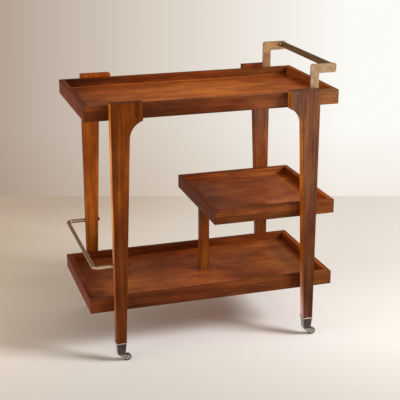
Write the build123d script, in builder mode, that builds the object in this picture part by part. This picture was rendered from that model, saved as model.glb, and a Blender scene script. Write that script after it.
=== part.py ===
from build123d import *
import os

os.makedirs("parts", exist_ok=True)

# Bar cart: three rimmed wooden trays between four flagged legs, a brass push
# handle over the right end, a bent rod as bottle rail at the left end and a
# swivel caster under each leg. Millimetres, +Z up, the long side along X and
# the front at -Y. The origin is on the floor under the middle of the cart.

# Trays
tray_length = 800.0
tray_depth = 404.0
shelf_length = 402.0
top_rim_height = 816.0
shelf_rim_height = 458.0
bottom_rim_height = 211.0
rail_height = 45.0
rail_thickness = 18.0
rail_edge_chamfer = 1.0
panel_recess = 25.0
panel_thickness = 9.0
panel_field_gap = 0.3
tongue_thickness = 5.5
tongue_gap = 0.15
groove_depth = 6.0

# Legs
leg_thickness = 28.0
leg_inset = 72.5
leg_rise = 10.0
leg_foot_height = 66.0
leg_foot_width = 31.4
curve_height = 52.5
curve_foot_width = 56.2
flag_width = 97.0
flag_height = 55.5
leg_edge_chamfer = 1.0

# Dowels between legs and rails
dowel_diameter = 8.0
dowel_gap = 0.1
dowel_end_gap = 1.0
dowel_rail_depth = 9.0
dowel_leg_depth = 18.0
low_dowel_spacing = 20.0
flag_dowel_edge = 16.0
flag_dowel_spacing = 30.0

# Post under the middle shelf
post_width = 30.0
post_depth = 28.0
post_inset = 12.0
post_forward = 4.5
post_gap = 0.2
post_edge_round = 1.2
post_housing_depth = 2.0
post_dowel_panel_depth = 4.5
post_dowel_depth = 20.0

# Handle brackets
bracket_thickness = 5.0
bracket_width = 28.0
bracket_proud = 2.0
bracket_drop = 62.0
bracket_rise = 75.0
bracket_edge_chamfer = 0.5
bracket_gap = 0.1
arm_height = 29.0
arm_length = 56.5
arm_end_round = 8.0
bracket_corner_round = 8.0
bracket_inner_round = 3.0

# Handle bar
bar_diameter = 20.0
bar_inset = 13.0
bar_drop = 11.5
bar_tenon_diameter = 10.0
bar_tenon_length = 3.0
bar_gap = 0.1
collar_wall = 1.5
collar_width = 5.0
collar_edge_chamfer = 0.8

# Bracket screws
screw_diameter = 5.0
screw_head_diameter = 10.0
screw_head_depth = 2.5
screw_length = 20.0
screw_recess = 0.3
screw_gap = 0.1
screw_edge = 15.0

# Bottle rail
rod_diameter = 12.0
rod_height = 322.0
rod_reach = 61.5
rod_bend_radius = 14.0
rod_gap = 0.1
stud_diameter = 8.0
cap_nut_width = 13.0
cap_nut_flat_length = 3.5
cap_nut_dome_length = 2.8
cap_nut_dome_diameter = 11.4
cap_nut_dome_round = 2.2
cap_nut_bore_depth = 4.0
cap_nut_stand_off = 0.3

# Caster cups and sleeves
cup_top_width = 30.0
cup_top_depth = 26.6
cup_foot_width = 24.0
cup_foot_depth = 22.0
cup_foot_height = 27.0
cup_wall = 1.8
cup_floor = 3.0
cup_gap = 0.15
flange_thickness = 2.6
flange_proud = 1.6
flange_edge_round = 0.8
sleeve_diameter = 12.0
sleeve_length = 26.0
sleeve_gap = 0.1
sleeve_head_room = 4.0

# Caster forks
stem_diameter = 8.0
stem_gap = 0.08
stem_head_diameter = 9.8
stem_head_thickness = 2.0
stem_head_gap = 0.4
crown_width = 16.0
crown_thickness = 4.0
crown_round = 1.6
crown_gap = 0.4
cheek_thickness = 2.2
cheek_gap = 0.4
cheek_boss_diameter = 8.0
horn_hollow = 3.5
horn_bulge = 3.0
wheel_slot_gap = 1.2

# Caster wheels
wheel_diameter = 24.0
wheel_width = 10.0
wheel_trail = 20.0
tread_chamfer = 1.6
hub_diameter = 15.0
hub_seat_gap = 0.05
hub_recess_diameter = 13.0
hub_recess_depth = 1.2
hub_boss_diameter = 8.4
axle_diameter = 4.0
axle_gap = 0.05
axle_head_diameter = 7.0
axle_head_thickness = 1.4
axle_head_chamfer = 0.6

# How far a cut runs past a face
overrun = 2.0

left = -tray_length / 2
right = tray_length / 2
front = -tray_depth / 2
back = tray_depth / 2
shelf_left = right - shelf_length
leg_reach = right - leg_inset
leg_top_height = top_rim_height + leg_rise
flag_foot_height = leg_top_height - flag_height
curve_foot_height = flag_foot_height - curve_height
leg_middle_depth = tray_depth / 2 + leg_thickness / 2
foot_middle_reach = leg_reach - leg_foot_width / 2
bracket_left = leg_reach + bracket_proud - bracket_width
bracket_right = leg_reach + bracket_proud
bracket_foot_height = leg_top_height - bracket_drop
bracket_top_height = leg_top_height + bracket_rise
sides = (("left", -1), ("right", 1))
depths = (("front", -1), ("rear", 1))

# name, left end and rim height of each tray
trays = (
    ("top_tray", left, top_rim_height),
    ("middle_shelf", shelf_left, shelf_rim_height),
    ("bottom_tray", left, bottom_rim_height),
)


def keep(piece, name):
    """Labels a finished piece and writes it as its own file."""
    piece.part.label = name
    export_step(piece.part, f"parts/{name}.step")


def leg_width_at(height):
    """Width of a leg on its tapered stretch."""
    share = (height - leg_foot_height) / (curve_foot_height - leg_foot_height)
    return leg_foot_width + (curve_foot_width - leg_foot_width) * share


def face_plane(depth_side, distance):
    """Plane facing away from the cart's middle, at a distance from it along Y."""
    return Plane(
        origin=(0, depth_side * distance, 0),
        x_dir=(-depth_side, 0, 0),
        z_dir=(0, depth_side, 0),
    )


def on_face(depth_side, x, height):
    """Point of the cart in the two directions of a face plane."""
    return (-depth_side * x, height)


def dowel_places(side):
    """X and height of the dowels that hold a leg on one side of the cart."""
    inner = leg_reach - flag_width + flag_dowel_edge
    middle = top_rim_height - rail_height / 2
    places = [
        (side * inner, middle),
        (side * (inner + flag_dowel_spacing), middle),
    ]
    rims = [bottom_rim_height]
    if side > 0:
        rims.append(shelf_rim_height)
    for rim in rims:
        for step in (-1, 1):
            height = rim - rail_height / 2 + step * low_dowel_spacing / 2
            places.append((side * foot_middle_reach, height))
    return places


def dowel_holes(depth_side, places, start, depth):
    """Cuts dowel holes from a face plane at start outwards by depth."""
    with BuildSketch(face_plane(depth_side, start)) as holes:
        with Locations(*[on_face(depth_side, x, height) for x, height in places]):
            Circle(dowel_diameter / 2 + dowel_gap)
    extrude(holes.sketch, amount=depth, mode=Mode.SUBTRACT)


def screw_shape(depth_side, gap, mode):
    """Countersunk bracket screws, as solids or, with a gap, as their holes."""
    x = bracket_right - bracket_width / 2
    head_face = tray_depth / 2 + screw_recess
    head_foot = head_face + screw_head_depth
    away = (0, depth_side, 0)
    for height in (bracket_foot_height + screw_edge, leg_top_height - screw_edge):
        centre = on_face(depth_side, x, height)
        with BuildSketch(face_plane(depth_side, head_face)) as wide:
            with Locations(centre):
                Circle(screw_head_diameter / 2 + gap)
        with BuildSketch(face_plane(depth_side, head_foot)) as narrow:
            with Locations(centre):
                Circle(screw_diameter / 2 + gap)
        loft(sections=[wide.sketch, narrow.sketch], mode=mode)
        extrude(narrow.sketch, amount=screw_length - screw_head_depth + gap, dir=away, mode=mode)
        if gap:
            extrude(wide.sketch, amount=-screw_recess, dir=away, mode=mode)


# Trays: four mitred rails round a panel whose tongue is let into their grooves
groove_foot = -panel_recess - panel_thickness - tongue_gap
groove_width = tongue_thickness + 2 * tongue_gap
post_middle = (shelf_left + post_inset + post_width / 2, -post_forward)

for tray, tray_left, rim in trays:
    runs = (
        ("front_rail", (tray_left, front, rim), (1, 0, 0), (0, 1, 0), right - tray_left),
        ("right_rail", (right, front, rim), (0, 1, 0), (-1, 0, 0), tray_depth),
        ("back_rail", (right, back, rim), (-1, 0, 0), (0, -1, 0), right - tray_left),
        ("left_rail", (tray_left, back, rim), (0, -1, 0), (1, 0, 0), tray_depth),
    )
    for run, corner, along, inward, length in runs:
        section_plane = Plane(origin=corner, x_dir=inward, z_dir=along)
        far_corner = Vector(*corner) + Vector(*along) * length
        with BuildPart() as rail:
            with BuildSketch(section_plane) as section:
                Rectangle(rail_thickness, rail_height, align=(Align.MIN, Align.MAX))
                chamfer(section.vertices(), rail_edge_chamfer)
                with Locations((rail_thickness, groove_foot)):
                    Rectangle(
                        2 * groove_depth,
                        groove_width,
                        align=(Align.CENTER, Align.MIN),
                        mode=Mode.SUBTRACT,
                    )
            extrude(amount=length)
            mitre = Vector(*along) - Vector(*inward)
            split(bisect_by=Plane(origin=corner, z_dir=mitre), keep=Keep.TOP)
            far_mitre = -Vector(*along) - Vector(*inward)
            split(bisect_by=Plane(origin=far_corner, z_dir=far_mitre), keep=Keep.TOP)
            for _, depth_side in depths:
                if along[0] and inward[1] == -depth_side:
                    places = dowel_places(-1) + dowel_places(1)
                    reach = dowel_rail_depth + dowel_end_gap
                    held = [
                        (x, height)
                        for x, height in places
                        if rim - rail_height < height < rim and x > tray_left
                    ]
                    dowel_holes(depth_side, held, tray_depth / 2 - reach, reach)
        keep(rail, f"{tray}_{run}")

    with BuildPart() as panel:
        tongue_edge = rail_thickness - groove_depth + tongue_gap
        field_edge = rail_thickness + panel_field_gap
        for edge, thickness in ((tongue_edge, tongue_thickness), (field_edge, panel_thickness)):
            with BuildSketch(Plane.XY.offset(rim - panel_recess - panel_thickness)):
                with Locations(((tray_left + right) / 2, 0)):
                    Rectangle(right - tray_left - 2 * edge, tray_depth - 2 * edge)
            extrude(amount=thickness)
        dowel_reach = post_dowel_panel_depth + dowel_end_gap
        if tray == "middle_shelf":
            with BuildSketch(Plane.XY.offset(rim - panel_recess - panel_thickness)):
                with Locations(post_middle):
                    Circle(dowel_diameter / 2 + dowel_gap)
            extrude(amount=dowel_reach, mode=Mode.SUBTRACT)
        if tray == "bottom_tray":
            with BuildSketch(Plane.XY.offset(rim - panel_recess)):
                with Locations(post_middle):
                    Rectangle(post_width + 2 * post_gap, post_depth + 2 * post_gap)
            extrude(amount=-post_housing_depth, mode=Mode.SUBTRACT)
            with BuildSketch(Plane.XY.offset(rim - panel_recess - post_housing_depth)):
                with Locations(post_middle):
                    Circle(dowel_diameter / 2 + dowel_gap)
            extrude(amount=-dowel_reach, mode=Mode.SUBTRACT)
    keep(panel, f"{tray}_panel")


# Legs: a tapered plank that widens by a concave sweep into a flag at the top,
# with a tapered toe below the foot that fills the caster cup
cup_rim_height = leg_foot_height - flange_thickness
cup_floor_top = cup_foot_height + cup_floor


def cup_size_at(height, wall):
    """Width and depth of the cup at a height, inside a wall of that thickness."""
    share = (height - cup_foot_height) / (cup_rim_height - cup_foot_height)
    width = cup_foot_width + (cup_top_width - cup_foot_width) * share
    depth = cup_foot_depth + (cup_top_depth - cup_foot_depth) * share
    return width - 2 * wall, depth - 2 * wall


def tapered_block(x, y, foot, top, wall, mode):
    """Block that follows the cup's taper between two heights."""
    faces = []
    for height in (foot, top):
        width, depth = cup_size_at(height, wall)
        with BuildSketch(Plane.XY.offset(height)) as face:
            with Locations((x, y)):
                Rectangle(width, depth)
        faces.append(face.sketch)
    loft(sections=faces, mode=mode)


for depth_name, depth_side in depths:
    for side_name, side in sides:

        def corner(from_outer_edge, height):
            return on_face(depth_side, side * (leg_reach - from_outer_edge), height)

        foot_x = side * foot_middle_reach
        foot_y = depth_side * leg_middle_depth
        foot_inner = corner(leg_foot_width, leg_foot_height)
        curve_foot = corner(curve_foot_width, curve_foot_height)
        flag_foot = corner(flag_width, flag_foot_height)
        taper = Vector(*curve_foot) - Vector(*foot_inner)

        with BuildPart() as leg:
            with BuildSketch(face_plane(depth_side, tray_depth / 2)):
                with BuildLine():
                    Line(foot_inner, curve_foot)
                    TangentArc(curve_foot, flag_foot, tangent=taper)
                    Polyline(
                        flag_foot,
                        corner(flag_width, leg_top_height),
                        corner(0, leg_top_height),
                        corner(0, leg_foot_height),
                        foot_inner,
                    )
                make_face()
            extrude(amount=leg_thickness)
            eased = leg.edges().filter_by(lambda edge: edge.center().Z > leg_foot_height + leg_edge_chamfer)
            chamfer(eased, leg_edge_chamfer)

            tapered_block(
                foot_x,
                foot_y,
                cup_floor_top + cup_gap,
                leg_foot_height,
                cup_wall + cup_gap,
                Mode.ADD,
            )
            with BuildSketch(Plane.XY.offset(cup_floor_top)):
                with Locations((foot_x, foot_y)):
                    Circle(sleeve_diameter / 2 + sleeve_gap)
            extrude(amount=sleeve_length + sleeve_head_room, mode=Mode.SUBTRACT)

            dowel_holes(
                depth_side,
                dowel_places(side),
                tray_depth / 2,
                dowel_leg_depth + dowel_end_gap,
            )

            if side > 0:
                pocket_left = bracket_left - bracket_gap
                pocket_foot = bracket_foot_height - bracket_gap
                with BuildSketch(face_plane(depth_side, tray_depth / 2)):
                    with BuildLine():
                        Polyline(
                            on_face(depth_side, pocket_left, pocket_foot),
                            on_face(depth_side, leg_reach + overrun, pocket_foot),
                            on_face(depth_side, leg_reach + overrun, leg_top_height + overrun),
                            on_face(depth_side, pocket_left, leg_top_height + overrun),
                            close=True,
                        )
                    make_face()
                extrude(amount=bracket_thickness + bracket_gap, mode=Mode.SUBTRACT)
                screw_shape(depth_side, screw_gap, Mode.SUBTRACT)
            else:
                with BuildSketch(Plane.YZ.offset(-leg_reach - overrun)):
                    with Locations((foot_y, rod_height)):
                        Circle(stud_diameter / 2 + rod_gap)
                extrude(amount=flag_width, mode=Mode.SUBTRACT)
        keep(leg, f"leg_{depth_name}_{side_name}")


# Dowels of the legs, all alike, standing in both the rail and the leg
with BuildPart() as leg_dowels:
    for _, depth_side in depths:
        places = [on_face(depth_side, *place) for place in dowel_places(-1) + dowel_places(1)]
        with BuildSketch(face_plane(depth_side, tray_depth / 2 - dowel_rail_depth)):
            with Locations(*places):
                Circle(dowel_diameter / 2)
    extrude(amount=dowel_rail_depth + dowel_leg_depth)
keep(leg_dowels, "leg_dowels")


# Post: let a little into the bottom panel and rebated round the shelf's left rail
post_foot_height = bottom_rim_height - panel_recess - post_housing_depth
post_top_height = shelf_rim_height - panel_recess - panel_thickness
rail_foot_height = shelf_rim_height - rail_height

with BuildPart() as shelf_post:
    with BuildSketch(Plane.XY.offset(post_foot_height)):
        with Locations(post_middle):
            Rectangle(post_width, post_depth)
    extrude(amount=post_top_height - post_foot_height)
    fillet(shelf_post.edges().filter_by(Axis.Z), post_edge_round)
    rebate_right = shelf_left + rail_thickness + post_gap
    with BuildSketch(Plane.XY.offset(rail_foot_height)):
        with Locations((rebate_right, -post_forward)):
            Rectangle(2 * post_width, post_depth + 2 * overrun, align=(Align.MAX, Align.CENTER))
    extrude(amount=rail_height, mode=Mode.SUBTRACT)
    for end_height, inward in ((post_foot_height, 1), (post_top_height, -1)):
        with BuildSketch(Plane.XY.offset(end_height)):
            with Locations(post_middle):
                Circle(dowel_diameter / 2 + dowel_gap)
        extrude(amount=inward * (post_dowel_depth + dowel_end_gap), mode=Mode.SUBTRACT)
keep(shelf_post, "shelf_post")

with BuildPart() as post_dowels:
    for end_height, inward in ((post_foot_height, 1), (post_top_height, -1)):
        with BuildSketch(Plane.XY.offset(end_height - inward * post_dowel_panel_depth)):
            with Locations(post_middle):
                Circle(dowel_diameter / 2)
        extrude(amount=inward * (post_dowel_panel_depth + post_dowel_depth))
keep(post_dowels, "post_dowels")


# Handle: two flat bars bent out over the right end, let into the legs' backs,
# with a round bar tenoned between their ends
arm_foot_height = bracket_top_height - arm_height
arm_reach = bracket_right + arm_length
bar_middle = (arm_reach - bar_inset, bracket_top_height - bar_drop)

for depth_name, depth_side in depths:

    def spot(x, height):
        return on_face(depth_side, x, height)

    with BuildPart() as bracket:
        with BuildSketch(face_plane(depth_side, tray_depth / 2)) as outline:
            with BuildLine():
                Polyline(
                    spot(bracket_left, bracket_foot_height),
                    spot(bracket_right, bracket_foot_height),
                    spot(bracket_right, arm_foot_height),
                    spot(arm_reach, arm_foot_height),
                    spot(arm_reach, bracket_top_height),
                    spot(bracket_left, bracket_top_height),
                    close=True,
                )
            make_face()
            rounds = (
                (spot(bracket_right, arm_foot_height), bracket_inner_round),
                (spot(arm_reach, arm_foot_height), arm_end_round),
                (spot(arm_reach, bracket_top_height), arm_end_round),
                (spot(bracket_left, bracket_top_height), bracket_corner_round),
            )
            for place, radius in rounds:
                nearest = outline.vertices().sort_by_distance(Vector(*place))[0]
                fillet(nearest, radius)
        extrude(amount=bracket_thickness)
        rims = bracket.faces().sort_by(Axis.Y)
        chamfer(rims[0].edges() + rims[-1].edges(), bracket_edge_chamfer)
        with BuildSketch(face_plane(depth_side, tray_depth / 2)):
            with Locations(spot(*bar_middle)):
                Circle(bar_tenon_diameter / 2 + bar_gap)
        extrude(amount=bar_tenon_length + bar_gap, mode=Mode.SUBTRACT)
        screw_shape(depth_side, screw_gap, Mode.SUBTRACT)
    keep(bracket, f"handle_bracket_{depth_name}")

with BuildPart() as handle_bar:
    with BuildSketch(Plane.XZ):
        with Locations(bar_middle):
            Circle(bar_diameter / 2)
    extrude(amount=tray_depth / 2, both=True)
    with BuildSketch(Plane.XZ):
        with Locations(bar_middle):
            Circle(bar_tenon_diameter / 2)
    extrude(amount=tray_depth / 2 + bar_tenon_length, both=True)
keep(handle_bar, "handle_bar")

with BuildPart() as handle_collars:
    for _, depth_side in depths:
        with BuildSketch(face_plane(depth_side, tray_depth / 2 - collar_width)):
            with Locations(on_face(depth_side, *bar_middle)):
                Circle(bar_diameter / 2 + collar_wall)
                Circle(bar_diameter / 2 + bar_gap, mode=Mode.SUBTRACT)
    extrude(amount=collar_width)
    outer_rims = handle_collars.edges().group_by(SortBy.LENGTH)[-1]
    chamfer(outer_rims, collar_edge_chamfer)
keep(handle_collars, "handle_collars")

with BuildPart() as bracket_screws:
    for _, depth_side in depths:
        screw_shape(depth_side, 0, Mode.ADD)
keep(bracket_screws, "bracket_screws")


# Bottle rail: a rod bent out round the left end, shouldered against both left
# legs, with a stud through each leg and a domed nut at the leg's inner edge
rod_axis_x = -leg_reach - rod_reach
shoulder_x = -leg_reach - rod_gap
nut_face_x = -leg_reach + leg_width_at(rod_height) + cap_nut_stand_off
rod_end_x = nut_face_x + cap_nut_bore_depth - rod_gap
rod_ends = [(depth_side * leg_middle_depth, rod_height) for _, depth_side in depths]

with BuildPart() as bottle_rail:
    with BuildLine(Plane.XY.offset(rod_height)) as route:
        FilletPolyline(
            (shoulder_x, -leg_middle_depth),
            (rod_axis_x, -leg_middle_depth),
            (rod_axis_x, leg_middle_depth),
            (shoulder_x, leg_middle_depth),
            radius=rod_bend_radius,
        )
    with BuildSketch(Plane(origin=route.line @ 0, z_dir=route.line % 0)):
        Circle(rod_diameter / 2)
    sweep()
    with BuildSketch(Plane.YZ.offset(shoulder_x)):
        with Locations(*rod_ends):
            Circle(stud_diameter / 2)
    extrude(amount=rod_end_x - shoulder_x)
keep(bottle_rail, "bottle_rail")

with BuildPart() as cap_nuts:
    with BuildSketch(Plane.YZ.offset(nut_face_x)):
        with Locations(*rod_ends):
            RegularPolygon(cap_nut_width / 2, side_count=6, major_radius=False)
    extrude(amount=cap_nut_flat_length)
    with BuildSketch(Plane.YZ.offset(nut_face_x + cap_nut_flat_length)):
        with Locations(*rod_ends):
            Circle(cap_nut_dome_diameter / 2)
    extrude(amount=cap_nut_dome_length)
    fillet(cap_nuts.faces().group_by(Axis.X)[-1].edges(), cap_nut_dome_round)
    with BuildSketch(Plane.YZ.offset(nut_face_x)):
        with Locations(*rod_ends):
            Circle(stud_diameter / 2 + rod_gap)
    extrude(amount=cap_nut_bore_depth, mode=Mode.SUBTRACT)
keep(cap_nuts, "bottle_rail_nuts")


# Casters: a square cup with a lip on each leg's toe, a sleeve inside it, and
# below a swivelling horn whose wheel trails towards the handle
stem_bore = stem_diameter / 2 + stem_gap
sleeve_top_height = cup_floor_top + sleeve_length
crown_top_height = cup_foot_height - crown_gap
crown_foot_height = crown_top_height - crown_thickness
wheel_radius = wheel_diameter / 2
slot_width = wheel_width + 2 * cheek_gap
fork_width = slot_width + 2 * cheek_thickness

for depth_name, depth_side in depths:
    for side_name, side in sides:
        place = f"{depth_name}_{side_name}"
        swivel = (side * foot_middle_reach, depth_side * leg_middle_depth)
        wheel_plane = Plane.XZ.offset(-swivel[1])
        wheel_middle = (swivel[0] + wheel_trail, wheel_radius)
        horn_back = (swivel[0] - crown_width / 2, crown_foot_height)
        horn_back_top = (swivel[0] - crown_width / 2, crown_top_height)
        horn_front_top = (swivel[0] + crown_width / 2, crown_top_height)
        horn_front = (swivel[0] + crown_width / 2, crown_foot_height)
        boss_top = (wheel_middle[0], wheel_radius + cheek_boss_diameter / 2)
        boss_foot = (wheel_middle[0], wheel_radius - cheek_boss_diameter / 2)

        with BuildPart() as cup:
            tapered_block(*swivel, cup_foot_height, cup_rim_height, 0, Mode.ADD)
            with BuildSketch(Plane.XY.offset(cup_rim_height)):
                with Locations(swivel):
                    Rectangle(leg_foot_width + 2 * flange_proud, leg_thickness + 2 * flange_proud)
            extrude(amount=flange_thickness)
            fillet(cup.faces().sort_by(Axis.Z)[-1].edges(), flange_edge_round)
            tapered_block(*swivel, cup_floor_top, leg_foot_height, cup_wall, Mode.SUBTRACT)
            with BuildSketch(Plane.XY.offset(cup_foot_height)):
                with Locations(swivel):
                    Circle(stem_bore)
            extrude(amount=cup_floor, mode=Mode.SUBTRACT)
        keep(cup, f"caster_cup_{place}")

        with BuildPart() as fork:
            with BuildSketch(wheel_plane):
                with BuildLine():
                    Line(horn_back, horn_back_top)
                    Line(horn_back_top, horn_front_top)
                    Line(horn_front_top, horn_front)
                    SagittaArc(horn_front, boss_top, horn_hollow)
                    Line(boss_top, boss_foot)
                    SagittaArc(boss_foot, horn_back, horn_bulge)
                make_face()
                with Locations(wheel_middle):
                    Circle(cheek_boss_diameter / 2)
            extrude(amount=fork_width / 2, both=True)
            with BuildSketch(wheel_plane):
                with Locations(wheel_middle):
                    Circle(wheel_radius + wheel_slot_gap)
            extrude(amount=slot_width / 2, both=True, mode=Mode.SUBTRACT)
            upright = fork.edges().filter_by(Axis.Z)
            fillet(upright, crown_round)
            with BuildSketch(Plane.XY.offset(crown_top_height)):
                with Locations(swivel):
                    Circle(stem_diameter / 2)
            extrude(amount=sleeve_top_height + stem_head_gap - crown_top_height)
            with BuildSketch(Plane.XY.offset(sleeve_top_height + stem_head_gap)):
                with Locations(swivel):
                    Circle(stem_head_diameter / 2)
            extrude(amount=stem_head_thickness)
            with BuildSketch(wheel_plane):
                with Locations(wheel_middle):
                    Circle(axle_diameter / 2)
            extrude(amount=fork_width, both=True, mode=Mode.SUBTRACT)
        keep(fork, f"caster_fork_{place}")

        with BuildPart() as axle:
            with BuildSketch(wheel_plane):
                with Locations(wheel_middle):
                    Circle(axle_diameter / 2)
            extrude(amount=fork_width / 2, both=True)
            for facing in (-1, 1):
                with BuildSketch(wheel_plane.offset(facing * fork_width / 2)):
                    with Locations(wheel_middle):
                        Circle(axle_head_diameter / 2)
                extrude(amount=facing * axle_head_thickness)
            ends = axle.faces().filter_by(Axis.Y).sort_by(Axis.Y)
            chamfer(ends[0].edges() + ends[-1].edges(), axle_head_chamfer)
        keep(axle, f"caster_axle_{place}")

        with BuildPart() as tyre:
            with BuildSketch(wheel_plane):
                with Locations(wheel_middle):
                    Circle(wheel_radius)
                    Circle(hub_diameter / 2 + hub_seat_gap, mode=Mode.SUBTRACT)
            extrude(amount=wheel_width / 2, both=True)
            chamfer(tyre.edges().group_by(SortBy.LENGTH)[-1], tread_chamfer)
        keep(tyre, f"caster_tyre_{place}")

        with BuildPart() as hub:
            with BuildSketch(wheel_plane):
                with Locations(wheel_middle):
                    Circle(hub_diameter / 2)
            extrude(amount=wheel_width / 2, both=True)
            for facing in (-1, 1):
                with BuildSketch(wheel_plane.offset(facing * wheel_width / 2)):
                    with Locations(wheel_middle):
                        Circle(hub_recess_diameter / 2)
                        Circle(hub_boss_diameter / 2, mode=Mode.SUBTRACT)
                extrude(amount=-facing * hub_recess_depth, mode=Mode.SUBTRACT)
            with BuildSketch(wheel_plane):
                with Locations(wheel_middle):
                    Circle(axle_diameter / 2 + axle_gap)
            extrude(amount=wheel_width, both=True, mode=Mode.SUBTRACT)
        keep(hub, f"caster_hub_{place}")

with BuildPart() as caster_sleeves:
    for _, depth_side in depths:
        for _, side in sides:
            swivel = (side * foot_middle_reach, depth_side * leg_middle_depth)
            with BuildSketch(Plane.XY.offset(cup_floor_top)):
                with Locations(swivel):
                    Circle(sleeve_diameter / 2)
                    Circle(stem_bore, mode=Mode.SUBTRACT)
    extrude(amount=sleeve_length)
keep(caster_sleeves, "caster_sleeves")
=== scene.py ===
"""Looks of the bar cart: the finishes of its pieces, the studio and the camera."""

import logging
import math
from collections.abc import Mapping, Sequence
from dataclasses import dataclass, field
from enum import Enum
from typing import Any

import bpy
from mathutils import Matrix, Vector

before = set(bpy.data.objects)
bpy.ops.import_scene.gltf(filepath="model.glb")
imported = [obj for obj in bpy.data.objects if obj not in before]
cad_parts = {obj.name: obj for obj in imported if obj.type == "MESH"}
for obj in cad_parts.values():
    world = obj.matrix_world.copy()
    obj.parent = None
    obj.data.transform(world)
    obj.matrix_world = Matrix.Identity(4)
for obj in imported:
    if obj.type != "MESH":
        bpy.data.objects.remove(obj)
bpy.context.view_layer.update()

log = logging.getLogger("bar_cart")
MM = 0.001


def linear(code: str) -> tuple[float, float, float, float]:
    """Turns an sRGB hex colour into Blender's linear colour.

    Args:
        code: Colour as "#rrggbb".

    Returns:
        Linear red, green, blue and an alpha of 1.
    """
    parts = [int(code[i : i + 2], 16) / 255 for i in (1, 3, 5)]
    knee, slope, offset, gamma = 0.04045, 12.92, 0.055, 2.4
    red, green, blue = (p / slope if p <= knee else ((p + offset) / (1 + offset)) ** gamma for p in parts)
    return red, green, blue, 1.0


def add_node(
    tree: bpy.types.NodeTree,
    kind: str,
    inputs: Mapping[str | int, Any] | None = None,
    stops: Sequence[tuple[float, str]] = (),
    **settings: Any,
) -> bpy.types.Node:
    """Adds a node with its settings, values and links.

    Args:
        tree: Node tree that gets the node.
        kind: Blender's name of the node type.
        inputs: Sockets by name or number; a socket as value is linked, anything else is set.
        stops: Place and hex colour of each stop, in order, for a node with a colour ramp.
        **settings: Properties of the node.

    Returns:
        The new node.
    """
    node = tree.nodes.new(kind)
    for name, value in settings.items():
        setattr(node, name, value)
    for socket, value in (inputs or {}).items():
        if isinstance(value, bpy.types.NodeSocket):
            tree.links.new(value, node.inputs[socket])
        else:
            node.inputs[socket].default_value = value
    for number, (place, code) in enumerate(stops):
        elements = node.color_ramp.elements
        element = elements[number] if number < len(elements) else elements.new(place)
        element.position = place
        element.color = linear(code)
    return node


def new_material(name: str) -> tuple[bpy.types.Material, bpy.types.NodeTree, bpy.types.Node]:
    """Makes an empty node material.

    Args:
        name: Name of the material.

    Returns:
        The material, its tree and its output node.
    """
    material = bpy.data.materials.new(name)
    material.use_nodes = True
    tree = material.node_tree
    tree.nodes.clear()
    return material, tree, tree.nodes.new("ShaderNodeOutputMaterial")


def dress(node: str, material: bpy.types.Material) -> None:
    """Gives one CAD node its material in every slot.

    Args:
        node: Name of the CAD node.
        material: Finish that the whole node wears.
    """
    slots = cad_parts[node].material_slots
    for slot in slots:
        slot.material = material
    if not slots:
        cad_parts[node].data.materials.append(material)


class Grain(Enum):
    """Direction of a board's grain, as the order in which x, y and z become along, across and deep."""

    ALONG_X = ("X", "Y", "Z")
    ALONG_Y = ("Y", "Z", "X")
    ALONG_Z = ("Z", "X", "Y")


class Axis(Enum):
    """Axis of the cart, by the name of its socket."""

    X = "X"
    Y = "Y"
    Z = "Z"


class Face(Enum):
    """Side of a piece, by the direction in which it looks."""

    LEFT = (-1.0, 0.0, 0.0)
    FRONT = (0.0, -1.0, 0.0)
    TOP = (0.0, 0.0, 1.0)


@dataclass(frozen=True)
class Tone:
    """Painted light or shade: a finish made lighter or darker, fading in along one axis of the cart or on one side
    only.
    """

    # There is none of it at start and all of it from end on, in millimetres; where both are alike, all of the
    # length has it. The limits are cosines: a side has none of it 53 degrees off its face and all at 26 degrees.
    gain: tuple[float, float, float]
    axis: Axis = Axis.Z
    start: float = 0.0
    end: float = 0.0
    face: Face | None = None
    face_limits: tuple[float, float] = (0.6, 0.9)

    def over(self, tree: bpy.types.NodeTree, colour: Any) -> Any:
        """Lays the tone over a colour and keeps the grain in it.

        Args:
            tree: Node tree of the material.
            colour: Socket with the colour below.

        Returns:
            Socket with the toned colour.
        """
        share: Any = 1.0
        if self.start != self.end:
            place = add_node(tree, "ShaderNodeTexCoord").outputs["Object"]
            along = add_node(tree, "ShaderNodeSeparateXYZ", {0: place}).outputs[self.axis.value]
            reach = {"Value": along, "From Min": self.start * MM, "From Max": self.end * MM}
            share = add_node(tree, "ShaderNodeMapRange", reach, interpolation_type="SMOOTHSTEP").outputs[0]
        if self.face:
            least, full = self.face_limits
            looks = {0: add_node(tree, "ShaderNodeNewGeometry").outputs["Normal"], 1: self.face.value}
            looks = add_node(tree, "ShaderNodeVectorMath", looks, operation="DOT_PRODUCT").outputs["Value"]
            looks = {"Value": looks, "From Min": least, "From Max": full}
            looks = add_node(tree, "ShaderNodeMapRange", looks).outputs[0]
            share = add_node(tree, "ShaderNodeMath", {0: looks, 1: share}, operation="MULTIPLY").outputs[0]
        toned = {0: share, 6: colour, 7: (*self.gain, 1.0)}
        return add_node(tree, "ShaderNodeMix", toned, data_type="RGBA", blend_type="MULTIPLY").outputs[2]


@dataclass(frozen=True)
class Stain:
    """Colours of one piece, from its stain and on some from painted light: its dark streaks, ground and light
    streaks.
    """

    deep: str
    body: str
    bright: str


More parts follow.
